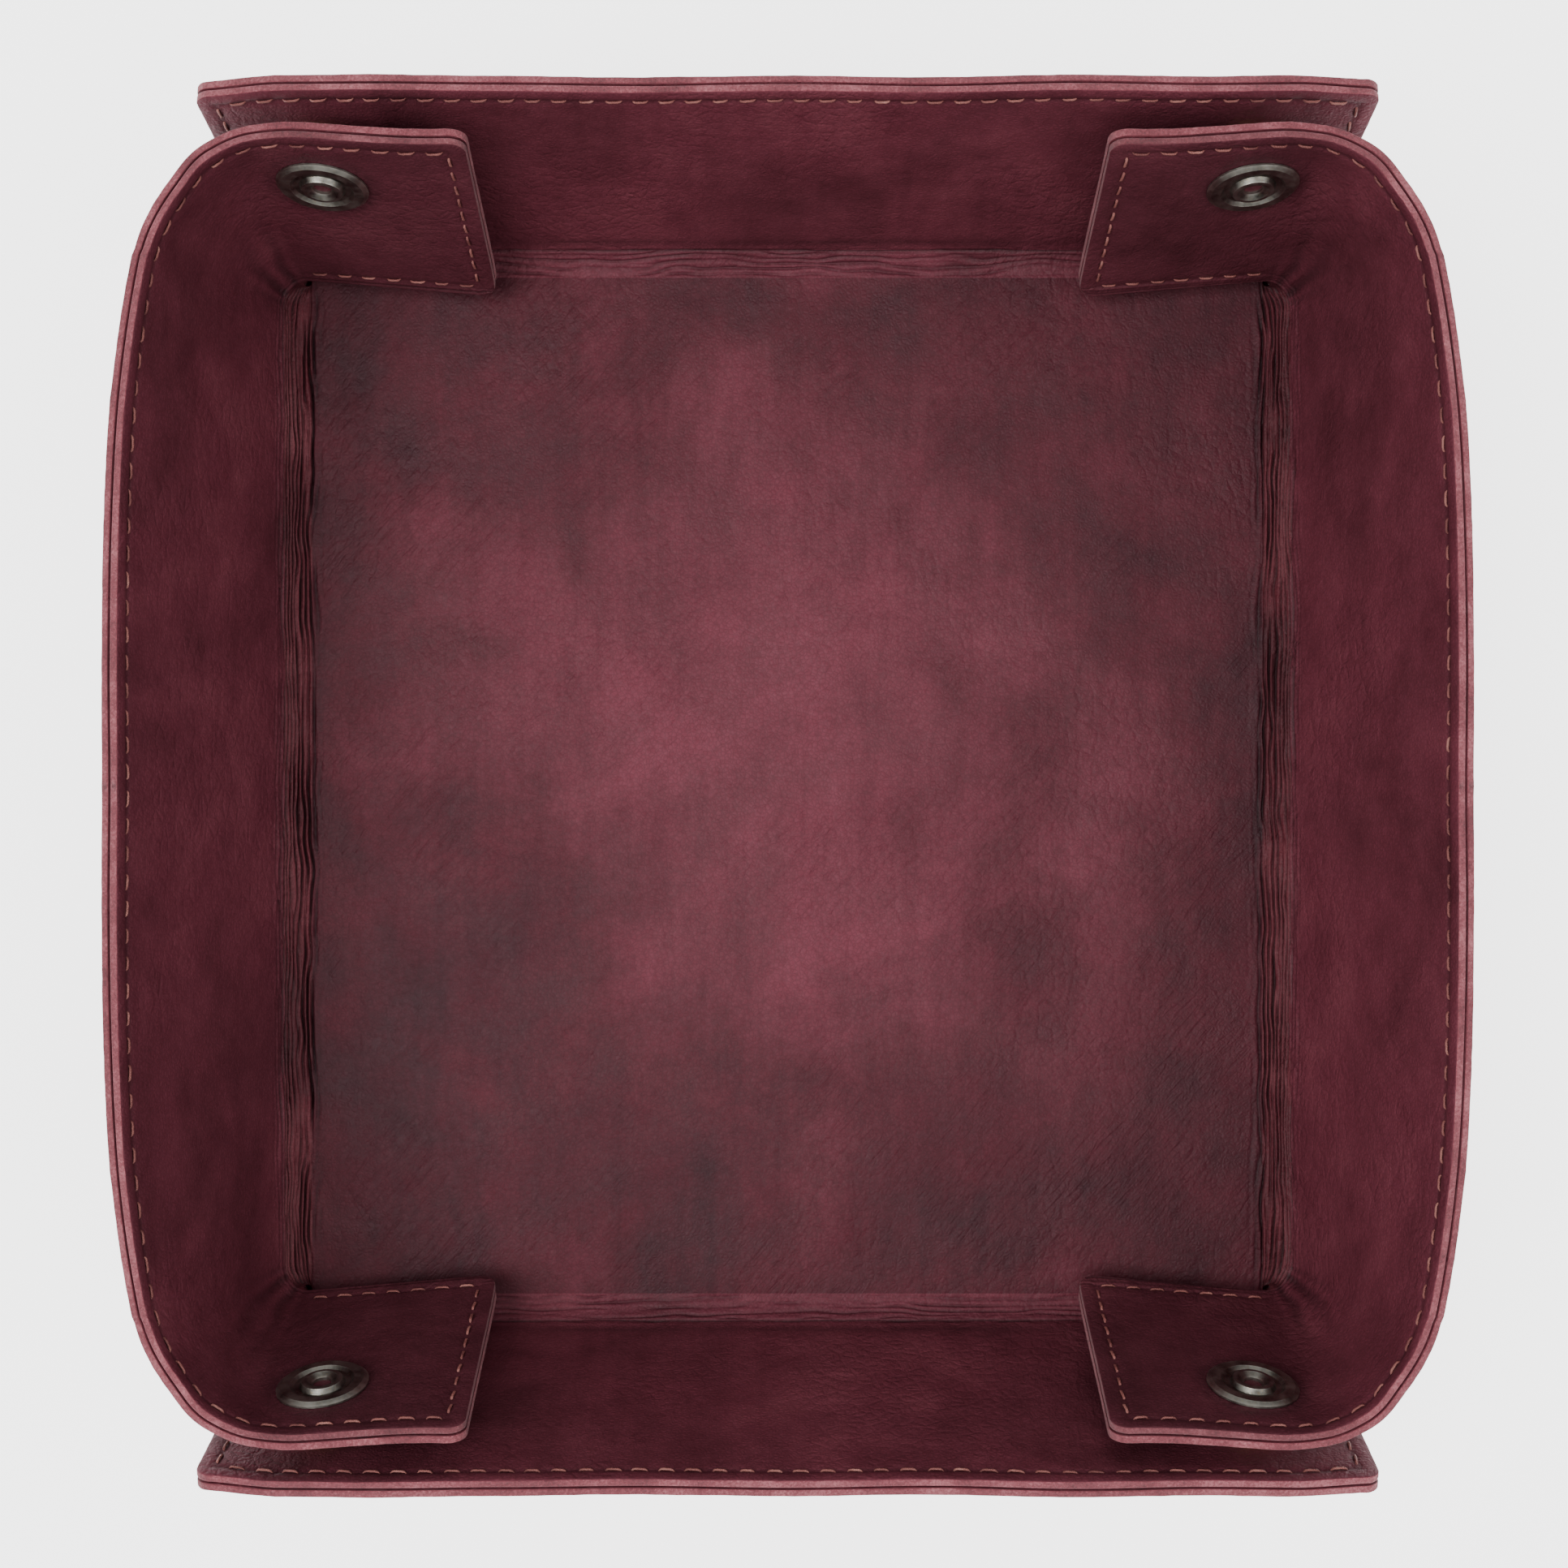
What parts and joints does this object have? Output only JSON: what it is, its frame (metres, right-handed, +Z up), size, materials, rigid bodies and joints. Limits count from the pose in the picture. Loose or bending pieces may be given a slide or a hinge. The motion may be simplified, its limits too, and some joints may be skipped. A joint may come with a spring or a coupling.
{
  "type": "folding dice tray",
  "caption": "Square two-ply leather tray with outward-leaning walls, whose side walls carry tabs that bend round the corners and snap to the back and front walls.",
  "frame": {"origin": "centre of the underside, on the surface the tray stands on", "axes": "+X to the right wall, +Y to the back wall, +Z up; the back and front walls carry the snap sockets"},
  "size_m": [0.1774, 0.1856, 0.0481],
  "materials": {
    "inner_leather": "waxed pull-up leather, oxblood, soft sheen, fine grain with darker and lighter patches",
    "outer_leather": "same leather, grain side outwards, raw pink-red cut edges",
    "thread": "waxed polyester thread, pale tan pink",
    "snap_face": "gunmetal plating, dull, rubbed lighter on the rings",
    "snap_works": "antique brass plating"
  },
  "bodies": {
    "floor": {"floor_inner_leather": "inner_leather", "floor_outer_leather": "outer_leather", "back_fold_inner_leather": "inner_leather", "back_fold_outer_leather": "outer_leather", "front_fold_inner_leather": "inner_leather", "front_fold_outer_leather": "outer_leather", "left_fold_inner_leather": "inner_leather", "left_fold_outer_leather": "outer_leather", "right_fold_inner_leather": "inner_leather", "right_fold_outer_leather": "outer_leather"},
    "back_wall": {"back_wall_inner_leather": "inner_leather", "back_wall_outer_leather": "outer_leather", "back_wall_thread": "thread", "back_left_snap_socket": "snap_works", "back_left_snap_cap": "snap_face", "back_right_snap_socket": "snap_works", "back_right_snap_cap": "snap_face"},
    "front_wall": {"front_wall_inner_leather": "inner_leather", "front_wall_outer_leather": "outer_leather", "front_wall_thread": "thread", "front_left_snap_socket": "snap_works", "front_left_snap_cap": "snap_face", "front_right_snap_socket": "snap_works", "front_right_snap_cap": "snap_face"},
    "left_wall": {"left_wall_inner_leather": "inner_leather", "left_wall_outer_leather": "outer_leather", "left_wall_thread": "thread", "back_left_corner_inner_leather": "inner_leather", "back_left_corner_outer_leather": "outer_leather", "front_left_corner_inner_leather": "inner_leather", "front_left_corner_outer_leather": "outer_leather"},
    "right_wall": {"right_wall_inner_leather": "inner_leather", "right_wall_outer_leather": "outer_leather", "right_wall_thread": "thread", "back_right_corner_inner_leather": "inner_leather", "back_right_corner_outer_leather": "outer_leather", "front_right_corner_inner_leather": "inner_leather", "front_right_corner_outer_leather": "outer_leather"},
    "back_left_tab": {"back_left_tab_inner_leather": "inner_leather", "back_left_tab_outer_leather": "outer_leather", "back_left_tab_thread": "thread", "back_left_snap_eyelet": "snap_face", "back_left_snap_stud": "snap_works"},
    "back_right_tab": {"back_right_tab_inner_leather": "inner_leather", "back_right_tab_outer_leather": "outer_leather", "back_right_tab_thread": "thread", "back_right_snap_eyelet": "snap_face", "back_right_snap_stud": "snap_works"},
    "front_left_tab": {"front_left_tab_inner_leather": "inner_leather", "front_left_tab_outer_leather": "outer_leather", "front_left_tab_thread": "thread", "front_left_snap_eyelet": "snap_face", "front_left_snap_stud": "snap_works"},
    "front_right_tab": {"front_right_tab_inner_leather": "inner_leather", "front_right_tab_outer_leather": "outer_leather", "front_right_tab_thread": "thread", "front_right_snap_eyelet": "snap_face", "front_right_snap_stud": "snap_works"}
  },
  "joints": [
    {"name": "back_wall_fold", "type": "hinge", "parent": "floor", "child": "back_wall", "pos_m": [0, 0.08, 0.0012], "axis": [-1, 0, 0], "range_deg": [0, 75]},
    {"name": "front_wall_fold", "type": "hinge", "parent": "floor", "child": "front_wall", "pos_m": [0, -0.08, 0.0012], "axis": [1, 0, 0], "range_deg": [0, 75]},
    {"name": "left_wall_fold", "type": "hinge", "parent": "floor", "child": "left_wall", "pos_m": [-0.075, 0, 0.0012], "axis": [0, -1, 0], "range_deg": [0, 74]},
    {"name": "right_wall_fold", "type": "hinge", "parent": "floor", "child": "right_wall", "pos_m": [0.075, 0, 0.0012], "axis": [0, 1, 0], "range_deg": [0, 74]},
    {"name": "back_left_tab_fold", "type": "hinge", "parent": "left_wall", "child": "back_left_tab", "pos_m": [-0.075, 0.07484, 0.0012], "axis": [-0.2505, 0.2512, 0.935], "range_deg": [0, 70]},
    {"name": "back_right_tab_fold", "type": "hinge", "parent": "right_wall", "child": "back_right_tab", "pos_m": [0.075, 0.07484, 0.0012], "axis": [-0.2505, -0.2512, -0.935], "range_deg": [0, 70]},
    {"name": "front_left_tab_fold", "type": "hinge", "parent": "left_wall", "child": "front_left_tab", "pos_m": [-0.075, -0.07484, 0.0012], "axis": [0.2505, 0.2512, -0.935], "range_deg": [0, 70]},
    {"name": "front_right_tab_fold", "type": "hinge", "parent": "right_wall", "child": "front_right_tab", "pos_m": [0.075, -0.07484, 0.0012], "axis": [0.2505, -0.2512, 0.935], "range_deg": [0, 70]}
  ],
  "couplings": [
    {"joint": "front_wall_fold", "follows": "back_wall_fold", "ratio": 1},
    {"joint": "left_wall_fold", "follows": "back_wall_fold", "ratio": 0.98667},
    {"joint": "right_wall_fold", "follows": "back_wall_fold", "ratio": 0.98667},
    {"joint": "back_left_tab_fold", "follows": "back_wall_fold", "ratio": 0.93333},
    {"joint": "back_right_tab_fold", "follows": "back_wall_fold", "ratio": 0.93333},
    {"joint": "front_left_tab_fold", "follows": "back_wall_fold", "ratio": 0.93333},
    {"joint": "front_right_tab_fold", "follows": "back_wall_fold", "ratio": 0.93333}
  ]
}
